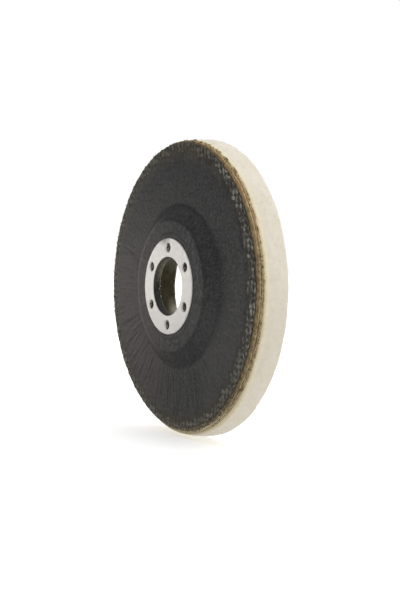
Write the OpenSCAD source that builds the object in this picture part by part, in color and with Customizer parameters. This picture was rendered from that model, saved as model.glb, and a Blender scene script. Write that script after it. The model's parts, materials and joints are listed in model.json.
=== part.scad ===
// Felt polishing wheel for an angle grinder: a hard felt ring bonded to a
// depressed-centre backing plate of resin-bonded glass mesh, with a steel arbor ring.
// The wheel turns about +Y. y = 0 is the rear face of the arbor ring, the felt is towards +Y,
// and the layers are stacked from the rear face forwards. Lengths are in millimetres.

/* [Felt ring] */
// Outside diameter of the felt at its working face
felt_d = 116; // [114:0.1:125]
// Outside diameter of the felt at the glue line, where it is a little narrower
felt_back_d = 113.8; // [113:0.1:116]
// Thickness of the felt
felt_t = 9.6; // [6:0.1:16]
// Clear diameter through the felt, for the lock nut
felt_bore_d = 44.6; // [42:0.1:48]
// Rounding of the felt's worn front edges
felt_edge_r = 0.7; // [0.3:0.1:2]
// Thickness of the resin that lines the felt's bore
lining_t = 0.4; // [0.2:0.1:1]

/* [Backing plate] */
// Outside diameter of the glass plies behind the felt
plate_d = 113; // [110:0.5:114]
// Outside diameter of the black rear glass ply
rear_ply_d = 110.8; // [106:0.1:112]
// Outside diameter of the black cloth facing
facing_d = 103.6; // [96:0.1:105]
// Thickness of the black cloth facing
facing_t = 0.25; // [0.15:0.05:0.4]
// Thickness of the rear glass ply
rear_ply_t = 0.5; // [0.3:0.05:0.7]
// Thickness of each of the two tan glass plies
ply_t = 0.65; // [0.3:0.05:0.8]
// Thickness of the glue line under the felt
glue_t = 0.25; // [0.1:0.05:0.4]
// Diameter of the small glass disc that stiffens the hub
doubler_d = 47; // [34:0.5:48]
// Thickness of that disc
doubler_t = 0.3; // [0.2:0.05:0.5]

/* [Raised hub] */
// Radius where the flat top of the hub begins to fall away
hub_top_r = 25.2; // [24.5:0.1:27]
// Radius where the slope has run out into the flat outer zone
hub_base_r = 32.5; // [31:0.1:36]
// Height of the hub over the flat outer zone
hub_rise = 3.8; // [2:0.1:5]
// Share of the slope's width taken by each rounded end
slope_blend = 0.25; // [0.1:0.05:0.45]

/* [Arbor ring] */
// Bore of the arbor ring
arbor_d = 22.23; // [22.2:0.01:22.4]
// Outside diameter of the ring's rear flange
flange_d = 37.3; // [36:0.1:40]
// Thickness of the ring's sheet steel
ring_t = 0.5; // [0.4:0.05:0.6]
// Rounding of the bore's rear edge
bore_edge_r = 0.15; // [0.1:0.01:0.2]
// Inside radius of the roll that turns the collar outwards at the front
roll_r = 0.9; // [0.7:0.05:1.2]
// Outside diameter of the rolled front lip
lip_d = 26.6; // [25.6:0.1:28]
// Diameter of the circle that the pierced holes lie on
pierced_pcd = 30; // [29.6:0.1:30.6]
// Diameter of each pierced hole
pierced_d = 3.4; // [2.8:0.1:3.6]
// Number of pierced holes
pierced_count = 6; // [4:1:8]
// Wall of the burr that each hole drives into the plies
burr_t = 0.35; // [0.2:0.05:0.4]

/* [Hidden] */

$fn = 180;
slope_steps = 14;
arc_steps = 8;
cut_extra = 1;

bore_r = arbor_d / 2;
collar_r = bore_r + ring_t;
burr_r = pierced_d / 2 + burr_t;

// Rear face of each layer at the hub, from the ring's flange forwards
facing_y = ring_t;
rear_ply_y = facing_y + facing_t;
middle_ply_y = rear_ply_y + rear_ply_t;
front_ply_y = middle_ply_y + ply_t;
doubler_y = front_ply_y + ply_t;
lip_y = doubler_y + doubler_t;

// Front faces: of the plate's flat outer zone, of the glue and of the felt
plate_front_y = doubler_y + hub_rise;
felt_y = plate_front_y + glue_t;
felt_front_y = felt_y + felt_t;

// The collar's wall is straight from the rounded rear edge to the start of the roll
roll_y = lip_y + ring_t - roll_r;
roll_centre_r = bore_r + roll_r;

felt_hole_r = felt_bore_d / 2 + lining_t;
glue_inner_r = hub_base_r + 0.5;
glue_outer_r = plate_d / 2 - 0.2;
// Each burr goes through the facing, the rear ply and the middle ply
burr_depth = front_ply_y;

// The hub's slope as a share of its height: parabola, straight line, parabola
function ease(t, b) =
  t < b ? t * t / (2 * b * (1 - b)) :
  t > 1 - b ? 1 - (1 - t) * (1 - t) / (2 * b * (1 - b)) :
  (t - b / 2) / (1 - b);

// Points along the dished surface that is at height y over the hub
function dished(y) = [
  for (i = [0:slope_steps])
    let (t = i / slope_steps)
    [hub_top_r + t * (hub_base_r - hub_top_r), y + hub_rise * ease(t, slope_blend)]
];

function arc(centre, r, from, to) = [
  for (i = [0:arc_steps])
    let (a = from + (to - from) * i / arc_steps)
    centre + r * [cos(a), sin(a)]
];

function reversed(list) = [for (i = [len(list) - 1:-1:0]) list[i]];

// Turns a profile of [radius, y] points about the wheel's axis
module revolve(profile) {
  rotate([-90, 0, 0])
    rotate_extrude()
      polygon(profile);
}

// A flat ring between two radii and two heights
module flat_ring(inner_r, outer_r, y0, y1) {
  revolve([[inner_r, y0], [outer_r, y0], [outer_r, y1], [inner_r, y1]]);
}

// One dished layer of the plate, with the height of its rear face at the hub
module dished_layer(y, t, outer_r) {
  rear = dished(y);
  front = dished(y + t);
  revolve(concat(
    [[collar_r, y]],
    rear,
    [[outer_r, y + hub_rise], [outer_r, y + hub_rise + t]],
    reversed(front),
    [[collar_r, y + t]]
  ));
}

// Places its children at each pierced hole, the first one at the top of the wheel
module at_pierced_holes() {
  for (i = [0:pierced_count - 1])
    rotate([0, i * 360 / pierced_count, 0])
      translate([0, 0, pierced_pcd / 2])
        children();
}

// A straight pin along the wheel's axis from one height to another
module pin_along_y(r, y0, y1) {
  translate([0, y0, 0])
    rotate([-90, 0, 0])
      cylinder(r = r, h = y1 - y0);
}

// Leaves room in a layer for the burrs
module with_burr_holes() {
  difference() {
    children();
    at_pierced_holes()
      pin_along_y(burr_r, -cut_extra, burr_depth);
  }
}

// Flange, collar and rolled lip in one pressed piece, with its pierced holes
module arbor_ring() {
  roll_centre = [roll_centre_r, roll_y];
  edge_centre = [bore_r + bore_edge_r, bore_edge_r];
  color("gainsboro")
    difference() {
      union() {
        revolve(concat(
          [[flange_d / 2, 0], [flange_d / 2, ring_t], [collar_r, ring_t]],
          arc(roll_centre, roll_r - ring_t, 180, 90),
          [[lip_d / 2, lip_y], [lip_d / 2, lip_y + ring_t]],
          reversed(arc(roll_centre, roll_r, 180, 90)),
          arc(edge_centre, bore_edge_r, 180, 270)
        ));
        at_pierced_holes()
          pin_along_y(burr_r, ring_t / 2, burr_depth);
      }
      at_pierced_holes()
        pin_along_y(pierced_d / 2, -cut_extra, burr_depth + cut_extra);
    }
}

// Black cloth over the rear of the plate
module rear_facing() {
  color("#3d3c3b")
    with_burr_holes()
      dished_layer(facing_y, facing_t, facing_d / 2);
}

// Glass mesh next to the cloth, black with the facing's resin
module rear_glass_ply() {
  color("#565a4e")
    with_burr_holes()
      dished_layer(rear_ply_y, rear_ply_t, rear_ply_d / 2);
}

// Glass mesh in tan resin, whose edge shows past the rear ply
module middle_glass_ply() {
  color("#a58c66")
    with_burr_holes()
      dished_layer(middle_ply_y, ply_t, plate_d / 2);
}

// The ply that the felt is glued to
module front_glass_ply() {
  color("#a08a62")
    dished_layer(front_ply_y, ply_t, plate_d / 2);
}

// Small glass disc in the hollow of the hub, held under the rolled lip
module hub_reinforcement() {
  color("#8a7654")
    flat_ring(roll_centre_r, doubler_d / 2, doubler_y, lip_y);
}

module glue_line() {
  color("#c8bd9d")
    flat_ring(glue_inner_r, glue_outer_r, plate_front_y, felt_y);
}

// Hard pressed wool felt that widens a little towards its softened front edges
module felt_ring() {
  outer_r = felt_d / 2;
  front = felt_front_y - felt_edge_r;
  color("#e0d8c8")
    revolve(concat(
      [[felt_hole_r, felt_y], [felt_back_d / 2, felt_y]],
      arc([outer_r - felt_edge_r, front], felt_edge_r, 0, 90),
      [[felt_hole_r, felt_front_y]]
    ));
}

// Brown resin that seals the felt's bore
module bore_lining() {
  color("#3f3527")
    flat_ring(felt_bore_d / 2, felt_hole_r, felt_y, felt_front_y);
}

arbor_ring();
rear_facing();
rear_glass_ply();
middle_glass_ply();
front_glass_ply();
hub_reinforcement();
glue_line();
felt_ring();
bore_lining();
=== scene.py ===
"""A felt polishing wheel: the looks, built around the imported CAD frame.

The wheel turns about +Y: the steel ring's rear face is at y = 0 and the felt is towards +Y.
All lengths below are in millimetres. Meshes are turned into metres as they are made.
"""

import json
import math

import bpy
import numpy as np
from mathutils import Matrix, Vector


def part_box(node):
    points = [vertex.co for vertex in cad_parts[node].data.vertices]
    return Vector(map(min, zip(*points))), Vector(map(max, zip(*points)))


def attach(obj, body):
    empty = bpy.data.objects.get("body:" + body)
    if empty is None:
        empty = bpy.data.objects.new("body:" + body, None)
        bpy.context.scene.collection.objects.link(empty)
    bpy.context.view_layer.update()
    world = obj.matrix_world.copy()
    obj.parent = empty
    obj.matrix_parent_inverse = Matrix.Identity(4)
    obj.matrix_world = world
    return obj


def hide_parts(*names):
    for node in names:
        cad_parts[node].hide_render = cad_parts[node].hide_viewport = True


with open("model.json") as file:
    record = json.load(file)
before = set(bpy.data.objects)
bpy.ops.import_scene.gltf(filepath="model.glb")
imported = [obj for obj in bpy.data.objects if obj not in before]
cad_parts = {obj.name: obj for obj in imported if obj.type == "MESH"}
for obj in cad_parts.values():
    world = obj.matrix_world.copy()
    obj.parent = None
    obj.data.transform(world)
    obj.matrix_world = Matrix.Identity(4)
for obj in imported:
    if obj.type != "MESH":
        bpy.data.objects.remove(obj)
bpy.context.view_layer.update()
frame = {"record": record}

MM = 0.001
TAU = 2 * math.pi


# ---------------- places taken from the frame


def layer(node):
    """Outer radius of a CAD node, its rear height and its front height, in millimetres."""
    low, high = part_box(node)
    return high[0] / MM, low[1] / MM, high[1] / MM


mounts = {m["name"]: m for m in frame["record"]["mounts"]}

BORE_R = mounts["arbor_bore"]["dims"]["r_mm"]
FLANGE_R, RING_REAR_Y, RING_FRONT_Y = layer("arbor_ring")
FACING_R, FACING_HUB_Y, FACING_FRONT_Y = layer("rear_facing")
REAR_PLY_R, REAR_PLY_HUB_Y, REAR_PLY_FRONT_Y = layer("rear_glass_ply")
PLATE_R, MIDDLE_PLY_HUB_Y, _ = layer("middle_glass_ply")
_, FRONT_PLY_HUB_Y, PLATE_FRONT_Y = layer("front_glass_ply")
DOUBLER_R, DOUBLER_Y, LIP_Y = layer("hub_reinforcement")
FELT_R, FELT_Y, FELT_FRONT_Y = layer("felt_ring")
FELT_HOLE_R = layer("bore_lining")[0]

# Heights of the plate's layers in its flat outer zone
HUB_RISE = FACING_FRONT_Y - REAR_PLY_HUB_Y
REAR_PLY_Y = REAR_PLY_HUB_Y + HUB_RISE
MIDDLE_PLY_Y = MIDDLE_PLY_HUB_Y + HUB_RISE
FRONT_PLY_Y = FRONT_PLY_HUB_Y + HUB_RISE

# Sizes that the frame's boxes don't give
FELT_BACK_R = 56.9
HUB_TOP_R = 25.2
HUB_BASE_R = 32.5
SLOPE_BLEND = 0.25
SLOPE_RINGS = np.array([HUB_TOP_R, 26.9, 28.8, 30.8, HUB_BASE_R])
SHEET_T = FACING_HUB_Y - RING_REAR_Y
COLLAR_R = BORE_R + SHEET_T
ROLL_R = 0.9
LIP_R = 13.3
PIERCED_PCD_R = 15.0
PIERCED_R = 1.7
PIERCED_COUNT = 6
LINING_R = 22.3
MESH_PITCH = 2.5

# Pieces whose CAD faces touch overlap or stand apart by this much, so that no faces coincide
GAP = 0.02

# Small errors of hand assembly: how far the felt and the black ply sit from the wheel's axis
FELT_SHIFT = np.array([0.0, 0.0, -0.69])
REAR_PLY_SHIFT = np.array([-1.05, 0.0, 0.3])


# ---------------- numbers and noise


def smoothstep(low, high, x):
    t = np.clip((x - low) / (high - low), 0, 1)
    return t * t * (3 - 2 * t)


def bump(x, low, high, soft):
    """1 between low and high, falling to 0 over a soft distance outside them."""
    return smoothstep(low - soft, low, x) * (1 - smoothstep(high, high + soft, x))


# Sums of waves are divided by this many times their spread
NOISE_PEAK = 1.6


def ring_noise(angle, seed, low, high):
    """Smooth noise round a circle, about -1 to 1, made of whole waves from low to high per turn."""
    waves = 24
    rng = np.random.default_rng(seed)
    total = np.zeros_like(angle, dtype=float)
    for _ in range(waves):
        total += np.cos(rng.integers(low, high + 1) * angle + rng.uniform(0, TAU))
    return total / math.sqrt(waves / 2) / NOISE_PEAK


def space_noise(points, seed, size, waves=28):
    """Smooth noise in space, about -1 to 1, with features of about the given size."""
    rng = np.random.default_rng(seed)
    total = np.zeros(len(points))
    for _ in range(waves):
        direction = rng.normal(size=3)
        direction *= rng.uniform(0.6, 1.5) * math.pi / size / np.linalg.norm(direction)
        total += np.cos(points @ direction + rng.uniform(0, TAU))
    return total / math.sqrt(waves / 2) / NOISE_PEAK


def hub_slope(r):
    """Share of the hub's height that the plate's surface has lost at a radius."""
    t = np.clip((r - HUB_TOP_R) / (HUB_BASE_R - HUB_TOP_R), 0, 1)
    b = SLOPE_BLEND
    curve = 2 * b * (1 - b)
    middle = (t - b / 2) / (1 - b)
    return np.where(t < b, t * t / curve, np.where(t > 1 - b, 1 - (1 - t) ** 2 / curve, middle))


def flat_points(x, z):
    """Points in the wheel's plane, for relief that is the same at every height."""
    return np.stack([x, np.zeros_like(x), z], axis=1)


def dished(rings, hub_y):
    """Points of a surface of the plate at the given radii, with its height at the hub."""
    return np.stack([rings, hub_y + HUB_RISE * hub_slope(rings)], axis=1)


def spin(angle):
    """The matrix that turns columns about the wheel's axis, from +X towards +Z."""
    cosine, sine = math.cos(angle), math.sin(angle)
    return np.array([[cosine, 0, -sine], [0, 1, 0], [sine, 0, cosine]])


def arc(centre_r, centre_y, radius, start, end, steps):
    """Points of an arc in the (radius, y) plane, between two angles in degrees."""
    a = np.radians(np.linspace(start, end, steps + 1))
    return np.stack([centre_r + radius * np.cos(a), centre_y + radius * np.sin(a)], axis=1)


def line(r0, y0, r1, y1, steps):
    """Points of a straight line in the (radius, y) plane."""
    return np.stack([np.linspace(r0, r1, steps + 1), np.linspace(y0, y1, steps + 1)], axis=1)


def joined(*runs):
    """One run of points from several that meet end to end."""
    kept = [runs[0]] + [run[1:] for run in runs[1:]]
    return np.concatenate(kept)


def woven_relief(x, z, angle, seed, half_width=0.95, wave=0.55):
    """Height, about 0 to 1, of a square mesh of flat yarns that go over and under each other."""
    turned_x = x * math.cos(angle) + z * math.sin(angle)
    turned_z = -x * math.sin(angle) + z * math.cos(angle)
    points = np.stack([turned_x, turned_z, np.zeros_like(x)], axis=1)
    u = (turned_x + 0.22 * space_noise(points, seed, 11.0)) / MESH_PITCH
    v = (turned_z + 0.22 * space_noise(points, seed + 1, 11.0)) / MESH_PITCH
    column, row = np.round(u), np.round(v)
    heights = []
    for off_centre, count, along, sign in ((u - column, column, v, 1), (v - row, row, u, -1)):
        across = np.clip(1 - (off_centre * MESH_PITCH / half_width) ** 2, 0, 1)
        centre = sign * wave * 0.5 * np.cos(math.pi * along) * (1 - 2 * (count % 2))
        unlike = 0.85 + 0.25 * np.sin(12.99 * count + 4.13 * np.round(along) + seed)
        heights.append((0.5 + centre) * np.sqrt(across) * unlike)
    return np.maximum(heights[0], heights[1])


# ---------------- meshes


def make_object(name, points, faces, materials, face_material=0):
    """A smooth mesh object from points in millimetres."""
    mesh = bpy.data.meshes.new(name)
    mesh.from_pydata((np.asarray(points) * MM).tolist(), [], faces)
    for material in materials:
        mesh.materials.append(material)
    count = len(mesh.polygons)
    mesh.polygons.foreach_set("material_index", np.broadcast_to(face_material, count).astype(np.int32))
    mesh.polygons.foreach_set("use_smooth", np.full(count, True))
    mesh.update()
    piece = bpy.data.objects.new(name, mesh)
    bpy.context.scene.collection.objects.link(piece)
    return piece


def add_piece(name, slot, nodes, shape, *materials):
    """A piece that rides on the wheel, from a Lathe or a Pile, with the CAD nodes that it stands for."""
    piece = make_object(name, shape.points(), shape.faces(), materials, shape.face_material)
    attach(piece, "root")
    if nodes:
        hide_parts(*nodes)
    return piece


def wrapped_quads(rows, columns, closed_rows=False):
    """Faces of a grid that closes on itself along its columns, and along its rows if asked."""
    i, j = np.meshgrid(np.arange(rows if closed_rows else rows - 1), np.arange(columns), indexing="ij")
    i2, j2 = (i + 1) % rows, (j + 1) % columns
    corners = [i * columns + j, i2 * columns + j, i2 * columns + j2, i * columns + j2]
    return np.stack(corners, axis=-1).reshape(-1, 4)


class Lathe:
    """A (radius, y) outline turned about the wheel's axis. Its points can then be pushed about."""

    def __init__(self, outline, steps, shift=(0, 0, 0)):
        self.outline = np.asarray(outline, dtype=float)
        self.steps = steps
        self.shift = np.asarray(shift, dtype=float)
        rows = len(self.outline)
        self.row = np.repeat(np.arange(rows), steps)
        self.r, self.y = self.outline[self.row].T.copy()
        self.angle = np.tile(np.linspace(0, TAU, steps, endpoint=False), rows)
        self.face_material = 0

    def xz(self):
        return self.r * np.cos(self.angle), self.r * np.sin(self.angle)

    def points(self):
        x, z = self.xz()
        return np.stack([x, self.y, z], axis=1) + self.shift

    def faces(self, closed=True):
        return wrapped_quads(len(self.outline), self.steps, closed).tolist()


def tube(path, half_width, half_height, across, sides):
    """Points and faces of a strand with an oval section and closed ends.

    across is the direction of the section's width. The sizes are given for each point of the path.
    """
    tangent = np.gradient(path, axis=0)
    tangent /= np.linalg.norm(tangent, axis=1, keepdims=True)
    across = across - tangent * np.sum(across * tangent, axis=1, keepdims=True)
    across /= np.linalg.norm(across, axis=1, keepdims=True)
    up = np.cross(tangent, across)
    a = np.linspace(0, TAU, sides, endpoint=False)
    aside = across[:, None] * (np.cos(a)[:, None] * half_width[:, None, None])
    above = up[:, None] * (np.sin(a)[:, None] * half_height[:, None, None])
    points = (path[:, None] + (aside + above)).reshape(-1, 3)
    faces = wrapped_quads(len(path), sides).tolist()
    faces.append(list(range(sides)))
    faces.append(list(range(len(points) - 1, len(points) - sides - 1, -1)))
    return points, faces


class Pile:
    """Collects many small meshes into one."""

    def __init__(self):
        self.all_points = []
        self.all_faces = []
        self.face_material = []
        self.count = 0

    def add(self, points, faces, material=0):
        """Adds a mesh. material is the place of its material in the list, for all faces or for each."""
        self.all_points.append(points)
        self.all_faces.extend([[k + self.count for k in face] for face in faces])
        self.face_material.extend(np.broadcast_to(material, len(faces)).tolist())
        self.count += len(points)

    def add_open(self, lathe, material=0):
        """Adds a lathe whose outline doesn't close on itself."""
        self.add(lathe.points(), lathe.faces(closed=False), material)

    def points(self):
        return np.concatenate(self.all_points)

    def faces(self):
        return self.all_faces


# ---------------- shader nodes


def set_input(node, key, value):
    """Gives an input of a shader node a number, a colour or another node's value."""
    if isinstance(value, Value):
        node.id_data.links.new(value.socket, node.inputs[key])
    else:
        node.inputs[key].default_value = value


def add_node(tree, kind, inputs, **settings):
    """A new shader node, with its inputs by name or by place."""
    node = tree.nodes.new(kind)
    for name, value in settings.items():
        setattr(node, name, value)
    for key, value in inputs.items():
        set_input(node, key, value)
    return node


class Value:
    """What a shader node puts out. Values can be added, multiplied and so on as if they were numbers."""

    def __init__(self, node, output=0):
        self.tree = node.id_data
        self.socket = node.outputs[output]

    def math(self, operation, a, b=0.0):
        return Value(add_node(self.tree, "ShaderNodeMath", {0: a, 1: b}, operation=operation))

    def __add__(self, other):
        return self.math("ADD", self, other)

    def __sub__(self, other):
        return self.math("SUBTRACT", self, other)

    def __mul__(self, other):
        return self.math("MULTIPLY", self, other)

    def __truediv__(self, other):
        return self.math("DIVIDE", self, other)

    def __rtruediv__(self, other):
        return self.math("DIVIDE", other, self)

    def __abs__(self):
        return self.math("ABSOLUTE", self)

    def root(self):
        return self.math("SQRT", self)

    def cosine(self, pitch):
        """A cosine wave of the value, from -1 to 1, that repeats after the given pitch."""
        return self.math("COSINE", self * (TAU / pitch))

    def at_least(self, other):
        return self.math("MAXIMUM", self, other)

    def ramp(self, low, high, out_low=0.0, out_high=1.0):
        """Goes smoothly from out_low to out_high while this value goes from low to high."""
        inputs = dict(enumerate((self, low, high, out_low, out_high)))
        return Value(add_node(self.tree, "ShaderNodeMapRange", inputs, interpolation_type="SMOOTHSTEP"))


def mix(share, a, b):
    """Colour a where the share is 0 and colour b where it is 1."""
    a, b = (colour if isinstance(colour, Value) else (*colour, 1) for colour in (a, b))
    inputs = {"Factor": share, "A": a, "B": b}
    return Value(add_node(share.tree, "ShaderNodeMix", inputs, data_type="RGBA"), "Result")


class Paint:
    """Writes a material's node tree, coat by coat. Its x, y and z are the place in millimetres."""

    def __init__(self, name, roughness, specular, metallic=0.0, sheen=0.0):
        self.material = bpy.data.materials.new(name)
        self.material.use_nodes = True
        self.tree = self.material.node_tree
        self.shader = self.tree.nodes["Principled BSDF"]
        set_input(self.shader, "Roughness", roughness)
        set_input(self.shader, "Specular IOR Level", specular)
        set_input(self.shader, "Metallic", metallic)
        set_input(self.shader, "Sheen Weight", sheen)
        coordinates = Value(add_node(self.tree, "ShaderNodeTexCoord", {}), "Object")
        self.place = self.vector("SCALE", {0: coordinates, "Scale": 1 / MM})
        split = add_node(self.tree, "ShaderNodeSeparateXYZ", {0: self.place})
        self.x, self.y, self.z = (Value(split, axis) for axis in "XYZ")
        self.colour = None

    def vector(self, operation, inputs):
        return Value(add_node(self.tree, "ShaderNodeVectorMath", inputs, operation=operation))

    def radius(self):
        """Distance from the wheel's axis, in millimetres."""
        return (self.x * self.x + self.z * self.z).root()

    def noise_at(self, place, detail, rough, distortion=0.0):
        inputs = {"Vector": place, "Scale": 1.0}
        inputs.update({"Detail": detail, "Roughness": rough, "Distortion": distortion})
        return Value(add_node(self.tree, "ShaderNodeTexNoise", inputs), "Fac")

    def noise(self, size, detail=3.0, rough=0.55, stretch=(1, 1, 1), distortion=0.0):
        """Noise with features of about the given size in millimetres."""
        inputs = {"Vector": self.place, "Scale": tuple(s / size for s in stretch)}
        place = Value(add_node(self.tree, "ShaderNodeMapping", inputs))
        return self.noise_at(place, detail, rough, distortion)

    def streaks(self, size, length, at_radius=45.0):
        """Noise drawn out along the radius, with features of the given size across at one radius."""
        radius = self.radius()
        around = self.vector("SCALE", {0: self.place, "Scale": at_radius / size / radius})
        outwards = Value(add_node(self.tree, "ShaderNodeCombineXYZ", {"Y": radius / length}))
        return self.noise_at(self.vector("ADD", {0: around, 1: outwards}), 3.0, 0.5)

    def weave(self, pitch):
        """Height of a plain weave of threads along X and Z, about 0 to 1."""
        across, along = self.x.cosine(2 * pitch), self.z.cosine(2 * pitch)
        return (abs(across) + abs(along)) * 0.35 + across * along * 0.25

    def base(self, share, a, b):
        """The first coat, which goes from colour a to colour b."""
        self.colour = mix(share, a, b)

    def coat(self, share, colour):
        """Lays a colour over what is there, as thick as the share says."""
        self.colour = mix(share, self.colour, colour)

    def finish(self, height=None, depth=0.0, strength=0.0):
        """Links the colour and the bump. depth is the height of the relief in millimetres."""
        set_input(self.shader, "Base Color", self.colour)
        if height is not None:
            inputs = {"Strength": strength, "Distance": depth * MM, "Height": height}
            normal = Value(add_node(self.tree, "ShaderNodeBump", inputs), "Normal")
            set_input(self.shader, "Normal", normal)
        return self.material


# ---------------- materials


def steel_material():
    """Matte zinc-plated sheet, with fine rolling marks and a grey patch of painted shade beside the top
    hole.
    """
    n = Paint("ring_steel", roughness=0.42, metallic=0.6, specular=0.4)
    n.base(n.noise(5, detail=4).ramp(0.4, 0.75, 0, 0.2), (0.695, 0.682, 0.656), (0.63, 0.615, 0.59))
    n.coat(n.noise(0.25, detail=2).ramp(0.35, 0.65, 0, 0.1), (0.52, 0.51, 0.49))
    # A grey patch beside the top hole: painted shade
    aside, above = n.x + 3, n.z - 19
    from_painted_shade = (aside * aside + above * above * 1.6).root() + n.noise(2.5, detail=4) * 3
    n.coat(from_painted_shade.ramp(2.2, 7, 0.85, 0), (0.21, 0.205, 0.2))
    set_input(n.shader, "Roughness", n.noise(2, detail=4).ramp(0.3, 0.7, 0.41, 0.46))
    return n.finish(n.noise(0.3, stretch=(0.15, 1, 1.4)), depth=0.02, strength=0.12)


def collar_material():
    """The collar's inner wall: steel painted dark as the bore's shade, with a painted highlight in its
    upper half.
    """
    n = Paint("collar_steel", roughness=0.6, metallic=0.2, specular=0.25)
    stain = n.noise(1.2, detail=4)
    # Very dark steel: painted shade of the bore
    n.base(stain.ramp(0.35, 0.7), (0.013, 0.014, 0.011), (0.036, 0.037, 0.029))
    # Paler in the upper half: painted highlight
    collar_highlight = n.noise(0.8, detail=4, stretch=(1, 1, 0.3)).ramp(0.38, 0.56, 0.5, 1)
    collar_highlight = collar_highlight * n.y.ramp(0.9, 2.1, 0.5, 1) * (n.z + stain * 4).ramp(1, 9)
    n.coat(collar_highlight, (0.165, 0.155, 0.112))
    return n.finish(n.noise(0.2, stretch=(1, 0.2, 1)), depth=0.03, strength=0.5)


def burr_material():
    """The torn insides of the pierced holes: dull grey steel with dark stains."""
    n = Paint("burr_steel", roughness=0.38, metallic=0.45, specular=0.5)
    n.base(n.noise(1, detail=4).ramp(0.38, 0.62), (0.11, 0.102, 0.08), (0.6, 0.58, 0.52))
    return n.finish(n.noise(0.5, detail=4), depth=0.15, strength=0.8)


def rolled_edge_material():
    """The holes' rolled-in edges: paler, glossier steel as a painted highlight for their glints."""
    n = Paint("rolled_edge_steel", roughness=0.22, metallic=0.9, specular=0.5)
    marks = n.noise(0.6)
    n.base(marks.ramp(0.4, 0.6), (0.62, 0.61, 0.59), (0.92, 0.91, 0.89))
    return n.finish(marks, depth=0.05, strength=0.6)


def cloth_material():
    """Resin-stiffened black cloth: fine weave, painted light and shade along the pleats, reddish at one
    side with painted sheen there, dark at the top, and a painted highlight on the hub's edge.
    """
    n = Paint("black_cloth", roughness=0.5, specular=0.34)
    x, z, r = n.x, n.z, n.radius()
    clouds = n.noise(16)
    mottle = n.noise(3.4, detail=4, rough=0.65)
    fine = n.noise(1.1, detail=4, rough=0.7)
    pleats = n.streaks(1.3, 6)
    # Reddish towards the left, and paler there as painted sheen of the light at the left
    n.base(x.ramp(5, -32) * clouds.ramp(0.36, 0.54), (0.027, 0.027, 0.027), (0.056, 0.038, 0.034))
    upper = z + clouds * 24
    n.coat(upper.ramp(8, 42, 0, 0.95), (0.012, 0.012, 0.013))
    # Mottling, pale specks and dark pits
    n.coat(mottle.ramp(0.42, 0.68, 0, 0.5), (0.046, 0.044, 0.044))
    n.coat(fine.ramp(0.45, 0.66, 0, 0.75), (0.066, 0.063, 0.062))
    n.coat(fine.ramp(0.32, 0.48, 0.65, 0), (0.009, 0.009, 0.009))
    # Darker towards the top, paler at the left as painted sheen of the light at the left, and paler
    # towards the lower right
    n.coat(upper.ramp(10, 44, 0, 0.32), (0.009, 0.009, 0.01))
    n.coat(z.ramp(52, 5) * x.ramp(2, -26) * 0.42, (0.07, 0.061, 0.056))
    n.coat(z.ramp(0, -20) * x.ramp(14, 28) * 0.4, (0.068, 0.065, 0.064))
    # Pale and dark streaks at the lower left: painted light and shade of the pleats
    low_side = r.ramp(HUB_BASE_R - 2, HUB_BASE_R + 5) * (z + x).ramp(25, -25, 0.35, 1)
    n.coat(low_side * pleats.ramp(0.52, 0.72, 0, 0.45), (0.072, 0.069, 0.066))
    n.coat(low_side * pleats.ramp(0.48, 0.3, 0, 0.5), (0.01, 0.01, 0.011))
    # Olive resin towards the rim, and a painted highlight on the hub's edge at the left
    n.coat(r.ramp(47.5, 52.5) * mottle.ramp(0.3, 0.6, 0.25, 0.9), (0.06, 0.054, 0.036))
    hub_edge_highlight = r.ramp(24.4, 26.2) * r.ramp(29, 26.6)
    n.coat(hub_edge_highlight * x.ramp(-3, -20, 0, 0.75), (0.16, 0.146, 0.134))
    set_input(n.shader, "Roughness", fine.ramp(0.3, 0.7, 0.56, 0.46))
    return n.finish(n.weave(0.45) + fine * r.ramp(30, 36, 0.8, 1.4), depth=0.06, strength=0.7)


def coated_mesh_material():
    """Glass mesh blackened by resin, with a painted highlight on its highest threads and painted shade
    that makes its gaps black.
    """
    n = Paint("coated_mesh", roughness=0.5, specular=0.35)
    strands = n.noise(0.25, rough=0.6)
    patches = n.noise(2.4, detail=4, rough=0.6)
    level = n.y + (strands - 0.5) * 0.16
    raised = level.ramp(REAR_PLY_Y + 0.06, REAR_PLY_Y - 0.04)
    thread_top_highlight = level.ramp(REAR_PLY_Y - 0.03, REAR_PLY_Y - 0.16)
    # Painted light: the highlight on the threads' tops is brightest at the right and the shade in the gaps
    # darkest there; both are paler towards the bottom
    right_side = n.x.ramp(12, 42)
    low_side = n.z.ramp(-8, -32)
    middle = mix(patches.ramp(0.4, 0.6), (0.05, 0.046, 0.032), (0.105, 0.095, 0.068))
    pale = mix(right_side, (0.12, 0.106, 0.072), (0.33, 0.33, 0.275))
    pale = mix(patches.ramp(0.32, 0.5, 0.5, 0), pale, middle)
    pale = mix(low_side * 0.9, pale, (0.15, 0.145, 0.114))
    middle = mix(low_side * 0.8, middle, (0.098, 0.092, 0.07))
    hollow = mix(right_side, (0.026, 0.024, 0.017), (0.014, 0.013, 0.01))
    hollow = mix(low_side, hollow, (0.038, 0.035, 0.026))
    n.base(raised, hollow, middle)
    # The highest threads near the rim: painted highlight
    n.coat(thread_top_highlight * n.radius().ramp(49.6, 51.8, 0.35, 1), pale)
    cut_ends = mix(n.noise(0.9).ramp(0.42, 0.56), (0.04, 0.028, 0.018), (0.2, 0.148, 0.095))
    n.coat(n.y.ramp(REAR_PLY_Y + 0.14, REAR_PLY_Y + 0.24), cut_ends)
    return n.finish(strands, depth=0.07, strength=0.7)


COATED_MESH = coated_mesh_material()


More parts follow.
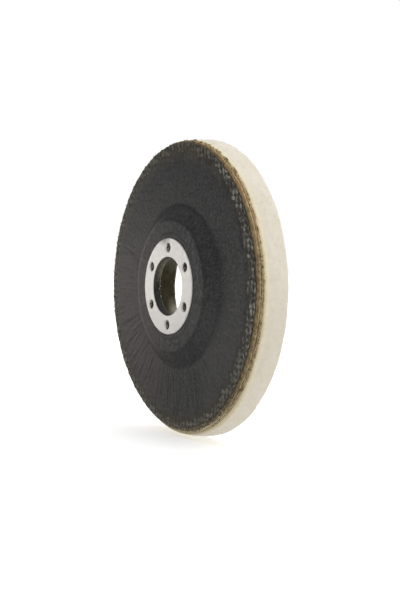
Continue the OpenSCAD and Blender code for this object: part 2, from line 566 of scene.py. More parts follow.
def laminate_material():
    """Glass mesh in phenolic resin, seen at the cut edge: tan threads, olive-brown resin between them."""
    n = Paint("glass_laminate", roughness=0.55, specular=0.3)
    y, z = n.y, n.z
    patches = n.noise(1.6, detail=4, rough=0.6)
    strands = n.noise(0.22, stretch=(1, 2.2, 1))
    specks = n.noise(0.8, rough=0.65)
    grains = n.noise(0.7, rough=0.6)
    n.base(patches.ramp(0.36, 0.64), (0.215, 0.15, 0.07), (0.41, 0.308, 0.162))
    n.coat(grains.ramp(0.56, 0.66, 0, 0.6), (0.62, 0.48, 0.27))
    n.coat(grains.ramp(0.44, 0.34, 0, 0.75), (0.12, 0.08, 0.03))
    n.coat(strands.ramp(0.48, 0.74, 0, 0.5), (0.58, 0.465, 0.265))
    # Golden at the top of the wheel, and pale at its foot as painted light from below
    n.coat(z.ramp(5, 40, 0, 0.45), (0.52, 0.345, 0.15))
    n.coat(z.ramp(-36, -54, 0, 0.75), (0.6, 0.515, 0.345))
    # A dark joint between the two plies, and dark spots beside the glue
    on_rim = n.radius().ramp(HUB_BASE_R, 50)
    joint = abs(y - FRONT_PLY_Y).ramp(0.05, 0.24, 0.9, 0) * specks.ramp(0.47, 0.56)
    n.coat(joint * on_rim, (0.085, 0.062, 0.02))
    by_glue = y.ramp(PLATE_FRONT_Y - 0.5, PLATE_FRONT_Y - 0.1) * on_rim
    n.coat(by_glue * n.noise(1.1).ramp(0.5, 0.6, 0, 0.85), (0.075, 0.055, 0.018))
    # Black resin has run over from the rear ply, most of all at the upper left
    run_over = (z - n.x).ramp(5, 45, 0.25, 1) * patches.ramp(0.35, 0.58, 1, 0.45)
    n.coat(y.ramp(MIDDLE_PLY_Y + 0.25, MIDDLE_PLY_Y) * on_rim * run_over, (0.05, 0.046, 0.028))
    # The middle ply is darker near its rear face along the foot of the wheel
    dark_foot_band = (y + patches * 0.5).ramp(MIDDLE_PLY_Y + 0.7, MIDDLE_PLY_Y + 0.45, 0, 0.9)
    dark_foot_band = z.ramp(-20, -50) * on_rim * dark_foot_band * grains.ramp(0.62, 0.48, 0.25, 1)
    n.coat(dark_foot_band, (0.05, 0.037, 0.02))
    n.coat(specks.ramp(0.6, 0.7, 0, 0.85), (0.08, 0.058, 0.024))
    return n.finish(strands + specks, depth=0.07, strength=0.8)


LAMINATE = laminate_material()


def hub_mesh_material():
    """The glass mesh in the hollow of the hub: pale threads standing out of darker resin."""
    n = Paint("hub_mesh", roughness=0.45, specular=0.45)
    patches = n.noise(2.2, detail=4)
    strands = n.noise(0.22)
    resin = mix(patches.ramp(0.38, 0.64), (0.085, 0.058, 0.022), (0.17, 0.12, 0.052))
    thread = mix(patches.ramp(0.36, 0.62), (0.27, 0.205, 0.115), (0.42, 0.34, 0.21))
    n.base(n.y.ramp(LIP_Y - 0.14, LIP_Y + 0.02), resin, thread)
    n.coat(strands.ramp(0.5, 0.75, 0, 0.4), (0.52, 0.44, 0.29))
    return n.finish(strands, depth=0.06, strength=0.8)


def glue_material():
    """Cured adhesive, golden, half soaked into the felt."""
    n = Paint("glue", roughness=0.45, specular=0.4)
    n.base(n.noise(1.5, detail=4).ramp(0.35, 0.65), (0.33, 0.265, 0.13), (0.58, 0.5, 0.32))
    n.coat(n.noise(1.1).ramp(0.5, 0.6, 0, 0.85), (0.11, 0.085, 0.03))
    return n.finish(n.noise(0.6, detail=4), depth=0.08, strength=0.7)


def felt_material():
    """Pressed wool felt: cream, faintly clouded, stained along the glue and round the bore."""
    n = Paint("felt", roughness=0.92, specular=0.12, sheen=0.2)
    set_input(n.shader, "Sheen Roughness", 0.6)
    fibres = n.noise(0.5, detail=5, rough=0.7, distortion=1.2)
    n.base(n.noise(9).ramp(0.35, 0.65), (0.665, 0.61, 0.505), (0.69, 0.64, 0.545))
    n.coat(fibres.ramp(0.3, 0.55, 0.25, 0), (0.58, 0.525, 0.42))
    # Paler towards the bottom: painted light from below
    n.coat(n.z.ramp(-15, -50, 0, 0.7), (0.76, 0.695, 0.565))
    from_glue = n.y + n.noise(1.6, detail=4) * 1.5 - n.z.ramp(-25, -55, 0, 0.9)
    n.coat(from_glue.ramp(FELT_Y + 1.4, FELT_Y + 3.6, 0.55, 0), (0.78, 0.69, 0.475))
    n.coat(from_glue.ramp(FELT_Y + 0.7, FELT_Y + 1.9, 0.7, 0), (0.52, 0.42, 0.235))
    from_bore = n.radius() - n.noise(1.5, detail=4) * 2
    n.coat(from_bore.ramp(LINING_R - 0.6, LINING_R + 1.2, 0.9, 0), (0.2, 0.145, 0.08))
    return n.finish(fibres, depth=0.12, strength=0.5)


def fibre_material():
    """The felt's loose surface fibres, a little paler than the mass of it."""
    n = Paint("felt_fibre", roughness=0.8, specular=0.15, sheen=0.2)
    n.base(n.noise(2).ramp(0.35, 0.65), (0.69, 0.64, 0.54), (0.76, 0.71, 0.62))
    return n.finish(n.noise(0.3, detail=2), depth=0.02, strength=0.3)


def lining_material():
    """Brown resin soaked into the felt's bore, its dark brown partly painted shade of the deep bore, paler
    where it fades out at the front edge.
    """
    n = Paint("bore_resin", roughness=0.5, specular=0.12)
    patches = n.noise(3, detail=4)
    streaks = n.noise(0.6, detail=4, stretch=(1, 0.35, 1))
    # Dark brown: resin, and partly painted shade of the deep bore
    n.base(patches.ramp(0.35, 0.65), (0.031, 0.0245, 0.0095), (0.05, 0.04, 0.0165))
    n.coat(streaks.ramp(0.5, 0.75, 0, 0.5), (0.055, 0.046, 0.027))
    # Greyer at the top, and paler at the bottom near the front: painted light on the bore's walls
    height = n.z + patches * 5
    n.coat(height.ramp(7, 13.5, 0, 0.8), (0.1, 0.096, 0.072))
    painted_light_low = height.ramp(-2, -8.5) * n.y.ramp(FELT_Y + 4.5, FELT_FRONT_Y - 1)
    n.coat(painted_light_low * 0.8, (0.36, 0.34, 0.28))
    reach = n.y + n.noise(2, detail=4) * 1.6
    n.coat(reach.ramp(FELT_FRONT_Y - 0.2, FELT_FRONT_Y + 1.2, 0, 0.6), (0.4, 0.34, 0.24))
    return n.finish(streaks, depth=0.12, strength=0.5)


# ---------------- sheets with the six pierced holes


def sector_angles(inner_r, outer_r):
    """Directions from a hole that meet the four corners of its sixth of a ring, and many between them."""
    half = math.pi / PIERCED_COUNT
    outer, inner = (
        math.atan2(radius * math.sin(half), radius * math.cos(half) - PIERCED_PCD_R)
        for radius in (outer_r, inner_r)
    )
    stops = [-outer, outer, inner, TAU - inner, TAU - outer]
    counts = [20, 12, 16, 12]
    runs = [np.linspace(a, b, c, endpoint=False) for a, b, c in zip(stops[:-1], stops[1:], counts)]
    return np.concatenate(runs)


def sector_reach(phi, inner_r, outer_r):
    """How far from a hole's centre its sixth of a ring reaches in each direction.

    phi is measured from the outward radial direction. The sixth is bounded by the ring's inner and
    outer circles and by the two radial lines half way to the next holes.
    """
    d = np.stack([np.cos(phi), np.sin(phi)], axis=-1)
    centre = np.array([PIERCED_PCD_R, 0.0])
    reach = np.full(phi.shape, np.inf)
    dot = d @ centre
    for circle_r in (outer_r, inner_r):
        inside = dot**2 - (PIERCED_PCD_R**2 - circle_r**2)
        root = np.sqrt(np.maximum(inside, 0))
        for t in (-dot + root, -dot - root):
            good = (inside > 0) & (t > 0)
            reach = np.where(good, np.minimum(reach, t), reach)
    half = math.pi / PIERCED_COUNT
    for sign in (1, -1):
        normal = np.array([-math.sin(half), sign * math.cos(half)])
        t = -(centre @ normal) / (d @ normal)
        reach = np.where(t > 0, np.minimum(reach, t), reach)
    return reach


def around_hole(k, rho, phi, y):
    """Points at distances rho from the centre of the k-th pierced hole, at height y."""
    turn = math.pi / 2 + k * TAU / PIERCED_COUNT
    radial = PIERCED_PCD_R + rho * np.cos(phi)
    side = rho * np.sin(phi)
    x = radial * math.cos(turn) - side * math.sin(turn)
    z = radial * math.sin(turn) + side * math.cos(turn)
    return np.stack([x, np.broadcast_to(y, x.shape), z], axis=1)


# The flat middle of each pierced layer, which the flange covers, reaches to this radius
PIERCED_ZONE_R = 18.3
BURR_R = PIERCED_R + 0.35


def pierced_layer(rear_y, front_y, dish):
    """A layer made of its flat middle, with the burrs' six holes through it, and of a Lathe round that."""
    pile = Pile()
    phi = sector_angles(COLLAR_R, PIERCED_ZONE_R)
    reach = sector_reach(phi, COLLAR_R, PIERCED_ZONE_R)
    shares = (0.0, 0.5, 1.0)
    rows = [(reach + share * (BURR_R - reach), rear_y) for share in shares]
    rows += [(reach + share * (BURR_R - reach), front_y) for share in reversed(shares)]
    for k in range(PIERCED_COUNT):
        points = [around_hole(k, rho, phi, y) for rho, y in rows]
        pile.add(np.concatenate(points), wrapped_quads(len(rows), len(phi)).tolist())
    pile.add_open(Lathe(line(COLLAR_R, front_y, COLLAR_R, rear_y, 2), 180))
    pile.add_open(dish)
    return pile


# ---------------- the black rear of the plate


def coated_mesh_height(x, z):
    """Height of the black ply's rear surface at the rim, over the foot of its threads, in millimetres."""
    points = flat_points(x, z)
    lumps = 0.5 + 0.5 * space_noise(points, 33, 3.0)
    wander_x = x + 0.6 + 0.35 * space_noise(points, 37, 5.0)
    wander_z = z + 0.35 * space_noise(points, 38, 5.0)
    threads = woven_relief(wander_x, wander_z, 0.0, 31, half_width=0.9, wave=0.7)
    ends = 1 + 0.3 * smoothstep(REAR_PLY_R - 2.0, REAR_PLY_R - 1.0, np.hypot(x, z))
    return 0.32 * threads * ends * (0.45 + 0.55 * lumps) + 0.055 * space_noise(points, 34, 0.8)


COATED_FOOT_Y = REAR_PLY_Y + 0.08


def cloth_relief(r, angle):
    """Relief of the cloth over its smooth dished surface, towards the rear, in millimetres."""
    x, z = r * np.cos(angle), r * np.sin(angle)
    points = flat_points(x, z)
    height = (0.02 + 0.08 * smoothstep(43, 50, r)) * (woven_relief(x, z, 0.0, 31) - 0.4)
    height += 0.012 * space_noise(points, 16, 1.4) + 0.03 * space_noise(points, 17, 7.0)
    # Radial pleats, deepest at the bottom of the wheel, with finer ones between them
    pleats = 94
    warp = 3.0 * ring_noise(angle, 11, 3, 14) + 1.4 * ring_noise(angle, 12, 20, 45)
    drift = 0.9 * np.sin(r * 0.28 + 4 * ring_noise(angle, 13, 5, 20))
    coarse = (0.5 + 0.5 * np.cos(pleats * angle + warp + drift)) ** 1.6
    fine = (0.5 + 0.5 * np.cos(2 * pleats * angle + 2 * warp - drift)) ** 1.3
    bottom = 0.5 + 0.5 * np.cos(angle + 0.52 * math.pi)
    strength = 0.20 + 0.75 * bottom**1.8
    patch = 0.65 + 0.35 * ring_noise(angle, 14, 6, 30)
    zone = smoothstep(HUB_BASE_R - 3.0, HUB_BASE_R + 3.0, r) * (1 - smoothstep(49.0, 52.5, r))
    length = 0.6 + 0.4 * np.sin(r * 0.33 + 5 * ring_noise(angle, 15, 8, 40))
    height += zone * strength * patch * length * (0.20 * coarse + 0.09 * fine)
    # The cloth is pressed in under the ring and swells beside it
    height += 0.12 * bump(r, FLANGE_R + 0.75, FLANGE_R + 1.6, 0.7) - 0.02
    height += 0.06 * smoothstep(FLANGE_R + 1.0, FLANGE_R + 4.0, r) * (1 - smoothstep(23, 26, r))
    return height


def build_facing():
    """The cloth. Near the rim it sinks into the mesh, whose threads come out of it one after the other."""
    edge_r = FACING_R + 2.0
    rings = np.concatenate([
        np.arange(PIERCED_ZONE_R, HUB_TOP_R, 0.36),
        np.arange(HUB_TOP_R, HUB_BASE_R + 1, 0.45),
        np.linspace(HUB_BASE_R + 1.4, 49.0, 28),
        np.linspace(49.3, edge_r, 15),
    ])
    rear = dished(rings, FACING_HUB_Y)
    front = dished(np.array([50.0, 40.0, *SLOPE_RINGS[::-1], PIERCED_ZONE_R]), REAR_PLY_HUB_Y)
    # The cloth's hidden side dips into the mesh before its edge
    front[0, 1] += 0.07
    lathe = Lathe(np.concatenate([rear, front]), 1000)
    on_rear = lathe.row < len(rear)
    r, angle = lathe.r, lathe.angle
    smooth_y = lathe.y - cloth_relief(r, angle) * smoothstep(PIERCED_ZONE_R, PIERCED_ZONE_R + 0.6, r)
    # Radius where the threads come out, which is smaller at the right of the wheel
    end_r = 53.1 - 3.0 * smoothstep(0.35, 0.95, np.cos(angle)) + 0.6 * ring_noise(angle, 21, 4, 40)
    share = smoothstep(end_r - 2.2, end_r + 1.1, r)
    sunk = 0.32 * share + 0.05 * share * space_noise(lathe.points(), 23, 1.8)
    sunk += 0.08 * smoothstep(edge_r - 0.9, edge_r, r)
    lathe.y = np.where(on_rear, smooth_y + sunk, lathe.y)
    layers = pierced_layer(FACING_HUB_Y, REAR_PLY_HUB_Y, lathe)
    add_piece("rear_facing_cloth", "black_cloth", ["rear_facing"], layers, cloth_material())


def rear_ply_rim(angle):
    """How far the black ply's rim is from its radius: it sits aside and was cut a little out of round."""
    aside = REAR_PLY_SHIFT[0] * np.cos(angle) + REAR_PLY_SHIFT[2] * np.sin(angle)
    return aside - 0.15 * np.sin(3 * angle)


def build_rear_ply():
    """The black mesh ply. It sits a little to one side, and its threads end unevenly at the rim."""
    rear_hub_y = REAR_PLY_HUB_Y + 0.03
    front_hub_y = MIDDLE_PLY_HUB_Y - GAP
    hidden = np.array([PIERCED_ZONE_R, *SLOPE_RINGS, 40.0, 48.6])
    mesh_steps = 26
    lathe = Lathe(np.concatenate([
        dished(hidden, rear_hub_y),
        line(49.2, COATED_FOOT_Y, REAR_PLY_R - 0.15, COATED_FOOT_Y, mesh_steps),
        line(REAR_PLY_R, COATED_FOOT_Y + 0.12, REAR_PLY_R, REAR_PLY_FRONT_Y - 0.12, 1),
        [[REAR_PLY_R - 0.2, REAR_PLY_FRONT_Y + GAP]],
        dished(hidden[::-1], front_hub_y),
    ]), 1440)
    near_rim = smoothstep(53.6, REAR_PLY_R, lathe.r)
    on_mesh = (lathe.row >= len(hidden)) & (lathe.row <= len(hidden) + mesh_steps)
    rounded = 1 - 0.6 * smoothstep(REAR_PLY_R - 0.35, REAR_PLY_R - 0.1, lathe.r)
    lathe.y -= np.where(on_mesh, coated_mesh_height(*lathe.xz()) * rounded, 0)
    aside = rear_ply_rim(lathe.angle)
    teeth = 0.10 * ring_noise(lathe.angle, 35, 10, 60) + 0.08 * ring_noise(lathe.angle, 36, 90, 200)
    just_inside = 55.0 * np.cos(lathe.angle), 55.0 * np.sin(lathe.angle)
    rim_height = coated_mesh_height(*just_inside)
    lathe.r += near_rim * (aside + teeth + 0.55 * (rim_height - 0.12))
    layers = pierced_layer(rear_hub_y, front_hub_y, lathe)
    add_piece("rear_glass_ply_mesh", "coated_glass", ["rear_glass_ply"], layers, COATED_MESH)


def build_coated_strands():
    """Short ends of filament that stand out of the black mesh, most of them close to its rim."""
    rng = np.random.default_rng(151)
    count, steps = 1500, 5
    angle = rng.uniform(0, TAU, count)
    r = REAR_PLY_R + rear_ply_rim(angle) - 3.8 * rng.uniform(0, 1, count) ** 1.4
    along_z = rng.random(count) < 0.5
    heading = np.where(along_z, math.pi / 2, 0) + rng.normal(0, 0.25, count)
    length = rng.uniform(0.5, 1.4, count)
    t = np.linspace(-0.5, 0.5, steps)
    x = (r * np.cos(angle) + length * np.cos(heading) * t[:, None]).T
    z = (r * np.sin(angle) + length * np.sin(heading) * t[:, None]).T
    height = coated_mesh_height(x.ravel(), z.ravel()).reshape(x.shape)
    lift = rng.uniform(-0.01, 0.07, count)[:, None] + rng.normal(0, 0.02, (count, steps))
    y = COATED_FOOT_Y - height - lift
    pile = Pile()
    for index in np.flatnonzero(height[:, steps // 2] > 0.10):
        path = np.stack([x[index], y[index], z[index]], axis=1)
        across = np.array([-math.sin(heading[index]), 0.0, math.cos(heading[index])])
        radius = rng.uniform(0.04, 0.085) * np.array([0.5, 0.9, 1.0, 0.9, 0.45])
        pile.add(*tube(path, radius, 0.8 * radius, across, 6))
    add_piece("rear_glass_ply_strands", "coated_glass", [], pile, COATED_MESH)


# ---------------- the tan plies


def ply_outline(inner_r, rear_hub_y, front_hub_y, outer_r, rim_rings, hub_rings):
    """A dished layer's outline: rear surface, rounded cut edge, front surface."""
    rear = dished(np.array([inner_r, *SLOPE_RINGS, 42.0, 52.0, *rim_rings]), rear_hub_y)
    front = dished(np.array([outer_r - 0.15, 52.0, 42.0, *hub_rings[::-1], inner_r]), front_hub_y)
    bottom, top = rear[-1, 1], front[0, 1]
    t = np.linspace(0.08, 0.92, 8)
    edge = np.stack([outer_r - 0.16 * (2 * t - 1) ** 4, bottom + (top - bottom) * t], axis=1)
    return np.concatenate([rear, edge, front])


def cut_edge(lathe, outer_r, mesh_angle, seed, ragged):
    """Pushes a ply's rim in and out where threads and resin were cut."""
    rim_x, rim_z = outer_r * np.cos(lathe.angle), outer_r * np.sin(lathe.angle)
    threads = woven_relief(rim_x, rim_z, mesh_angle, seed) - 0.45
    points = np.stack([rim_x, 2.5 * lathe.y, rim_z], axis=1)
    lumps = space_noise(points, seed + 2, 1.6)
    grain = space_noise(points, seed + 3, 0.6)
    near_rim = smoothstep(outer_r - 1.6, outer_r - 0.2, lathe.r)
    lathe.r += near_rim * ragged * (0.55 * threads + 0.5 * lumps + 0.3 * grain)


def build_middle_ply():
    outer_r = PLATE_R - 0.25
    front_hub_y = FRONT_PLY_HUB_Y - GAP
    mesh_angle, seed = 0.4, 51
    rim_rings = np.linspace(53.6, PLATE_R - 0.5, 12)
    outline = ply_outline(PIERCED_ZONE_R, MIDDLE_PLY_HUB_Y, front_hub_y, outer_r, rim_rings, SLOPE_RINGS)
    lathe = Lathe(outline, 1440)
    exposed = (np.abs(lathe.y - MIDDLE_PLY_Y) < 0.01) & (lathe.r > 53)
    relief = 0.16 * (woven_relief(*lathe.xz(), mesh_angle, seed) - 0.2)
    relief += 0.04 * space_noise(lathe.points(), 54, 0.9)
    lathe.y -= np.where(exposed, relief, 0)
    cut_edge(lathe, outer_r, mesh_angle, seed, 0.26)
    layers = pierced_layer(MIDDLE_PLY_HUB_Y, front_hub_y, lathe)
    add_piece("middle_glass_ply_sheet", "glass_laminate", ["middle_glass_ply"], layers, LAMINATE)


def build_front_ply():
    outer_r = PLATE_R + 0.02
    mesh_angle, seed = -0.35, 61
    rim_rings = (54.0, PLATE_R - 0.3)
    hub_rings = np.array([DOUBLER_R - 0.8, *np.arange(DOUBLER_R - 0.4, HUB_BASE_R + 1, 0.42)])
    outline = ply_outline(COLLAR_R, FRONT_PLY_HUB_Y + GAP, DOUBLER_Y, outer_r, rim_rings, hub_rings)
    lathe = Lathe(outline, 1200)
    on_front = lathe.row > len(outline) - len(hub_rings) - 2
    faded = 1 - smoothstep(HUB_BASE_R - 1, HUB_BASE_R, lathe.r)
    relief = 0.20 * (woven_relief(*lathe.xz(), mesh_angle, seed) - 0.6) * faded
    relief *= smoothstep(DOUBLER_R - 0.6, DOUBLER_R, lathe.r)
    lathe.y += np.where(on_front, relief, 0)
    cut_edge(lathe, outer_r, mesh_angle, seed, 0.34)
    add_piece("front_glass_ply_sheet", "glass_laminate", ["front_glass_ply"], lathe, LAMINATE)


def build_hub_reinforcement():
    """The small mesh disc in the hollow of the hub. It runs in under the ring's rolled lip."""
    inner_r = BORE_R + ROLL_R
    foot_y = LIP_Y - 0.17
    rear = line(inner_r, DOUBLER_Y, DOUBLER_R - 0.1, DOUBLER_Y, 1)
    lathe = Lathe(np.concatenate([rear, line(DOUBLER_R, foot_y, inner_r, foot_y, 51)]), 720)
    on_front = lathe.y > DOUBLER_Y + 0.01
    pressed = 0.6 + 0.4 * smoothstep(LIP_R, LIP_R + 1.5, lathe.r)
    relief = 0.25 * pressed * woven_relief(*lathe.xz(), 0.5, 71)
    relief += 0.02 * space_noise(lathe.points(), 73, 0.8)
    ending = 1 - smoothstep(DOUBLER_R - 0.5, DOUBLER_R, lathe.r)
    lathe.y += np.where(on_front, relief * ending, 0)
    near_rim = smoothstep(DOUBLER_R - 2, DOUBLER_R, lathe.r)
    lathe.r += near_rim * (0.3 * ring_noise(lathe.angle, 74, 12, 60) - 0.3)
    mesh = hub_mesh_material()
    add_piece("hub_reinforcement_mesh", "glass_laminate", ["hub_reinforcement"], lathe, mesh)


# ---------------- steel ring


# Roundings of the flange's rim, of the bore's rear edge and of the pierced holes
RIM_ROUND = 0.14
BORE_ROUND = 0.5
HOLE_ROUND = 0.34
FLANGE_FLAT_R = FLANGE_R - RIM_ROUND
BORE_FLAT_R = BORE_R + BORE_ROUND
FLANGE_BACK_Y = SHEET_T - 0.03
# Places of the ring's materials in its list
SHEET, SHADED_COLLAR, TORN_BURR, ROLLED = range(4)


def build_pierced_flange(pile):
    """The flange in sixths, each with its hole rolled in and a torn burr that lines the plies."""
    phi = sector_angles(BORE_FLAT_R, FLANGE_FLAT_R)
    reach = sector_reach(phi, BORE_FLAT_R, FLANGE_FLAT_R)
    front_reach = sector_reach(phi, COLLAR_R + 0.3, FLANGE_FLAT_R)
    hole_edge = PIERCED_R + HOLE_ROUND
    burr_foot = PIERCED_R + 0.33
    burr_end = FRONT_PLY_HUB_Y - 0.05
    rows = [(reach + share * (hole_edge - reach), 0.0) for share in (0.0, 0.2, 0.4, 0.6, 0.8, 0.93)]
    for a in np.radians(np.linspace(0, 90, 7)):
        rows.append((hole_edge - HOLE_ROUND * math.sin(a), HOLE_ROUND * (1 - math.cos(a))))
    first_inside = len(rows) - 1
    first_rolled = first_inside - 4
    for share in (0.35, 0.7, 1.0):
        rows.append((PIERCED_R - 0.12 * share, HOLE_ROUND + share * (burr_end - HOLE_ROUND)))
    rows.append((PIERCED_R + 0.18, burr_end))
    first_outside = len(rows) - 1
    for share in (1.0, 0.5, 0.0):
        rows.append((front_reach + share * (burr_foot - front_reach), FLANGE_BACK_Y))
    faces = wrapped_quads(len(rows), len(phi)).tolist()
    row = np.arange(len(faces)) // len(phi)
    # The rolled edges take the paler steel of their painted highlight
    material = np.select([row < first_rolled, row < first_inside, row <= first_outside],
                         [SHEET, ROLLED, TORN_BURR], SHEET)
    for k in range(PIERCED_COUNT):
        rng = np.random.default_rng(90 + k)
        torn = 0.12 * np.sin(3 * phi + rng.uniform(0, TAU))
        torn += 0.07 * np.sin(7 * phi + rng.uniform(0, TAU))
        points = []
        for index, (rho, y) in enumerate(rows):
            ring = around_hole(k, np.broadcast_to(rho, phi.shape), phi, y)
            if index < first_inside:
                ring[:, 1] += 0.025 * space_noise(flat_points(ring[:, 0], ring[:, 2]), 81, 6.0)
            if first_outside - 2 <= index <= first_outside:
                ring[:, 1] += torn * (0.5 if index == first_outside - 2 else 1.0)
            points.append(ring)
        pile.add(np.concatenate(points), faces, material)


def crimp_flakes(pile):
    """Flakes of plating that the rolling tool lifted at one side of the lip's inner edge."""
    rng = np.random.default_rng(99)
    flakes = 30
    for _ in range(flakes):
        a = math.pi + rng.normal(0.15, 0.28)
        size = rng.uniform(0.14, 0.32)
        r = BORE_R - 0.02 + rng.uniform(0.0, 0.10)
        centre = np.array([r * math.cos(a), RING_FRONT_Y - rng.uniform(0.2, 1.0), r * math.sin(a)])
        corners = rng.normal(0, 1, (5, 3))
        corners = centre + size * corners / np.linalg.norm(corners, axis=1, keepdims=True)
        pile.add(corners, [[0, 1, 2], [0, 2, 3], [0, 3, 4], [0, 4, 1], [2, 1, 4], [2, 4, 3]])


def build_ring():
    """Flange, collar and rolled lip. The flange lies between a rounded rim and the bore's rounded edge."""
    pile = Pile()
    build_pierced_flange(pile)
    steps = 360
    pile.add_open(Lathe(joined(
        arc(FLANGE_FLAT_R, RIM_ROUND, RIM_ROUND, -90, 0, 5),
        line(FLANGE_R, RIM_ROUND, FLANGE_R, FLANGE_BACK_Y, 2),
        line(FLANGE_R, FLANGE_BACK_Y, FLANGE_FLAT_R - 0.02, FLANGE_BACK_Y, 1),
    ), steps))
    collar_back_r = COLLAR_R - 0.03
    roll_y = RING_FRONT_Y - ROLL_R
    roll_r = BORE_R + ROLL_R
    behind = joined(
        line(COLLAR_R + 0.42, FLANGE_BACK_Y, collar_back_r, SHEET_T + 0.4, 3),
        line(collar_back_r, SHEET_T + 0.4, collar_back_r, roll_y, 3),
        arc(roll_r, roll_y, ROLL_R - SHEET_T + 0.03, 180, 90, 6),
        line(roll_r, LIP_Y + 0.02, LIP_R - 0.2, LIP_Y + 0.02, 5),
        arc(LIP_R - 0.22, LIP_Y + 0.24, 0.22, -90, 90, 7),
        line(LIP_R - 0.22, RING_FRONT_Y - 0.03, roll_r, RING_FRONT_Y, 5),
        arc(roll_r, roll_y, ROLL_R, 90, 180, 10),
    )
    bore = joined(
        line(BORE_R, roll_y, BORE_R, BORE_ROUND, 5),
        arc(BORE_FLAT_R, BORE_ROUND, BORE_ROUND, 180, 270, 7),
    )
    collar = Lathe(joined(behind, bore), steps)
    # The lip was rolled over by a tool and split a little: its edge wanders
    lip = smoothstep(roll_r, LIP_R, collar.r) * (collar.y > LIP_Y - 0.05)
    uneven = 0.14 * ring_noise(collar.angle, 95, 3, 16) + 0.05 * ring_noise(collar.angle, 96, 30, 60)
    collar.r += lip * uneven
    collar.y += lip * 0.04 * ring_noise(collar.angle, 97, 6, 20)
    # The collar's inner wall takes the dark steel that paints the bore's shade
    row = collar.row[:-steps]
    painted_shade_rows = (row >= len(behind) - 9) & (row < len(collar.outline) - 3)
    pile.add_open(collar, np.where(painted_shade_rows, SHADED_COLLAR, SHEET))
    crimp_flakes(pile)
    add_piece("arbor_ring_steel", "ring_steel", ["arbor_ring"], pile,
              steel_material(), collar_material(), burr_material(), rolled_edge_material())


# ---------------- felt, lining and glue


def felt_wall_r(y):
    """Radius of the felt's outer wall, which widens quickly from the glue line and then less."""
    share = (y - FELT_Y) / (FELT_FRONT_Y - FELT_Y)
    return FELT_BACK_R + (FELT_R - FELT_BACK_R) * (1 - (1 - share) ** 3)


def felt_outline():
    """The felt's wall, rounded front edge, working face, bore and back."""
    front_round, bore_round, back_round = 0.75, 0.3, 0.25
    face_r = FELT_R - front_round
    wall_end_y = FELT_FRONT_Y - front_round
    bore_end_r, bore_end_y = FELT_HOLE_R + bore_round, FELT_FRONT_Y - bore_round
    wall = line(FELT_R, FELT_Y + back_round, FELT_R, wall_end_y, 20)
    wall[:, 0] = felt_wall_r(wall[:, 1])
    wall[-1, 0] = FELT_R
    corner = arc(FELT_BACK_R - back_round, FELT_Y + back_round, back_round, -90, 0, 3)
    corner[-1, 0] = wall[0, 0]
    return joined(
        wall,
        arc(face_r, wall_end_y, front_round, 0, 90, 6),
        line(face_r, FELT_FRONT_Y, bore_end_r, FELT_FRONT_Y, 50),
        arc(bore_end_r, bore_end_y, bore_round, 90, 180, 3),
        line(FELT_HOLE_R, bore_end_y, FELT_HOLE_R, FELT_Y, 8),
        line(FELT_HOLE_R, FELT_Y, FELT_BACK_R - back_round, FELT_Y, 10),
        corner,
    )[:-1]


def build_felt():
    lathe = Lathe(felt_outline(), 960, FELT_SHIFT)
    points = lathe.points()
    free = np.where(lathe.y < FELT_Y + 0.2, 0.0, 1.0) * smoothstep(FELT_HOLE_R, FELT_HOLE_R + 0.4, lathe.r)
    swell = 0.10 * space_noise(points, 101, 9.0) + 0.05 * space_noise(points, 102, 2.2)
    tufts = 0.035 * space_noise(points, 103, 0.8, waves=48)
    outer = smoothstep(FELT_BACK_R - 1.4, FELT_BACK_R - 0.2, lathe.r)
    lathe.r += free * outer * (swell + tufts - 0.05)
    facing_out = smoothstep(FELT_FRONT_Y - 0.5, FELT_FRONT_Y, lathe.y)
    lathe.y += free * facing_out * (swell + tufts - 0.05)
    piece = add_piece("felt_ring_body", "felt", ["felt_ring"], lathe, felt_material())


def build_felt_fibres():
    """Loose wool fibres that lie on the felt's wall and face and curl off its edges."""
    rng = np.random.default_rng(111)
    pile = Pile()
    count = 6400
    for index in range(count):
        a = rng.uniform(0, TAU)
        on_wall = index % 2 == 0
        if on_wall:
            y = rng.uniform(FELT_Y + 0.6, FELT_FRONT_Y - 0.4)
            start = np.array([felt_wall_r(y) - 0.02, y, 0.0])
            normal, sideways = np.eye(3)[:2]
        else:
            r = math.sqrt(rng.uniform((FELT_HOLE_R + 1) ** 2, (FELT_R - 0.3) ** 2))
            start = np.array([r, FELT_FRONT_Y - 0.02, 0.0])
            sideways, normal = np.eye(3)[:2]
        heading = rng.uniform(0, TAU)
        flat = math.cos(heading) * sideways + [0, 0, math.sin(heading)]
        curl = np.cross(flat, normal) * rng.uniform(-0.6, 0.6)
        length = rng.uniform(0.4, 1.4)
        lying = rng.random() < 0.93
        lift = rng.uniform(0.02, 0.16) if lying else rng.uniform(0.2, 0.5)
        t = np.linspace(0, 1, 5)[:, None]
        raised = normal * lift * np.sin(math.pi * t * 0.75)
        path = start + flat * length * t + curl * length * t**2 + raised
        path[:, 0] = np.minimum(path[:, 0], FELT_R + 0.4)
        path[:, 1] = np.minimum(path[:, 1], FELT_FRONT_Y + 0.25)
        across = spin(a) @ np.cross(flat, normal)
        radius = rng.uniform(0.011, 0.02) * np.array([0.8, 1, 1, 0.8, 0.35])
        pile.add(*tube(path @ spin(a).T + FELT_SHIFT, radius, radius, across, 3))
    add_piece("felt_ring_fibres", "felt", [], pile, fibre_material())


